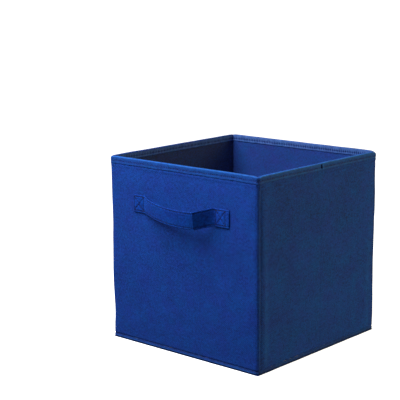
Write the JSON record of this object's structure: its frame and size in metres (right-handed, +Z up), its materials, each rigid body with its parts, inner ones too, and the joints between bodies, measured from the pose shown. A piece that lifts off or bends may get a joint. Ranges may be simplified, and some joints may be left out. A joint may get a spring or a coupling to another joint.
{
  "type": "fabric storage bin",
  "caption": "Open cube storage bin of blue nonwoven fabric over cardboard, with a sewn strap handle on the front, that folds flat once its loose base insert is lifted.",
  "frame": {"origin": "on the floor, at the middle of the footprint, the handle included", "axes": "+Z up, -Y out of the front wall that carries the handle, +X to the right seen from the front"},
  "size_m": [0.28, 0.3109, 0.275],
  "materials": {
    "panel_cloth": "matte nonwoven polypropylene with a fine embossed lattice",
    "lining_cloth": "matte nonwoven polypropylene",
    "binding_cloth": "matte nonwoven polypropylene, folded and stitched",
    "seam_cloth": "matte nonwoven polypropylene, layers sewn together",
    "strap_cloth": "nonwoven polypropylene, folded and edge stitched, slight sheen",
    "insert_cloth": "matte nonwoven polypropylene",
    "cardboard": "matte grey cardboard"
  },
  "bodies": {
    "front": {"front_outer_panel": "panel_cloth", "front_board": "cardboard", "front_lining": "lining_cloth", "front_top_binding": "binding_cloth", "front_base_seam": "seam_cloth", "front_left_corner": "panel_cloth", "front_right_corner": "panel_cloth", "base_cloth": "seam_cloth", "handle_tab_left": "strap_cloth", "handle_tab_right": "strap_cloth"},
    "left_front": {"left_front_outer_panel": "panel_cloth", "left_front_board": "cardboard", "left_front_lining": "lining_cloth", "left_front_top_binding": "binding_cloth", "left_front_base_seam": "seam_cloth", "left_side_crease": "panel_cloth"},
    "left_back": {"left_back_outer_panel": "panel_cloth", "left_back_board": "cardboard", "left_back_lining": "lining_cloth", "left_back_top_binding": "binding_cloth", "left_back_base_seam": "seam_cloth"},
    "back": {"back_outer_panel": "panel_cloth", "back_board": "cardboard", "back_lining": "lining_cloth", "back_top_binding": "binding_cloth", "back_base_seam": "seam_cloth", "back_left_corner": "panel_cloth", "back_right_corner": "panel_cloth"},
    "right_front": {"right_front_outer_panel": "panel_cloth", "right_front_board": "cardboard", "right_front_lining": "lining_cloth", "right_front_top_binding": "binding_cloth", "right_front_base_seam": "seam_cloth", "right_side_crease": "panel_cloth"},
    "right_back": {"right_back_outer_panel": "panel_cloth", "right_back_board": "cardboard", "right_back_lining": "lining_cloth", "right_back_top_binding": "binding_cloth", "right_back_base_seam": "seam_cloth"},
    "insert": {"insert_bottom_cover": "insert_cloth", "insert_board": "cardboard", "insert_top_cover": "insert_cloth"},
    "handle": {"handle_riser_left": "strap_cloth", "handle_grip": "strap_cloth", "handle_riser_right": "strap_cloth"}
  },
  "joints": [
    {"name": "left_front_fold", "type": "hinge", "parent": "front", "child": "left_front", "pos_m": [-0.1344, -0.1189, 0], "axis": [0, 0, -1], "range_deg": [0, 90], "deforming": ["base_cloth", "left_front_base_seam", "left_back_base_seam", "right_front_base_seam", "right_back_base_seam", "back_base_seam"]},
    {"name": "left_crease", "type": "hinge", "parent": "left_front", "child": "left_back", "pos_m": [-0.1402, 0.0155, 0], "axis": [0, 0, 1], "range_deg": [0, 180], "deforming": ["left_side_crease"]},
    {"name": "back_left_fold", "type": "hinge", "parent": "left_back", "child": "back", "pos_m": [-0.1344, 0.1499, 0], "axis": [0, 0, -1], "range_deg": [0, 90]},
    {"name": "right_front_fold", "type": "hinge", "parent": "front", "child": "right_front", "pos_m": [0.1344, -0.1189, 0], "axis": [0, 0, 1], "range_deg": [0, 90]},
    {"name": "right_crease", "type": "hinge", "parent": "right_front", "child": "right_back", "pos_m": [0.1402, 0.0155, 0], "axis": [0, 0, -1], "range_deg": [0, 180], "deforming": ["right_side_crease"]},
    {"name": "insert_lift", "type": "slide", "parent": "front", "child": "insert", "axis": [0, 0, 1], "range_m": [0, 0.28]},
    {"name": "handle_swing", "type": "hinge", "parent": "front", "child": "handle", "pos_m": [0, -0.1247, 0.211], "axis": [-1, 0, 0], "range_deg": [-35, 55], "deforming": ["handle_riser_left", "handle_riser_right"]}
  ],
  "couplings": [
    {"joint": "left_crease", "follows": "left_front_fold", "ratio": 2},
    {"joint": "back_left_fold", "follows": "left_front_fold", "ratio": 1},
    {"joint": "right_front_fold", "follows": "left_front_fold", "ratio": 1},
    {"joint": "right_crease", "follows": "left_front_fold", "ratio": 2}
  ]
}
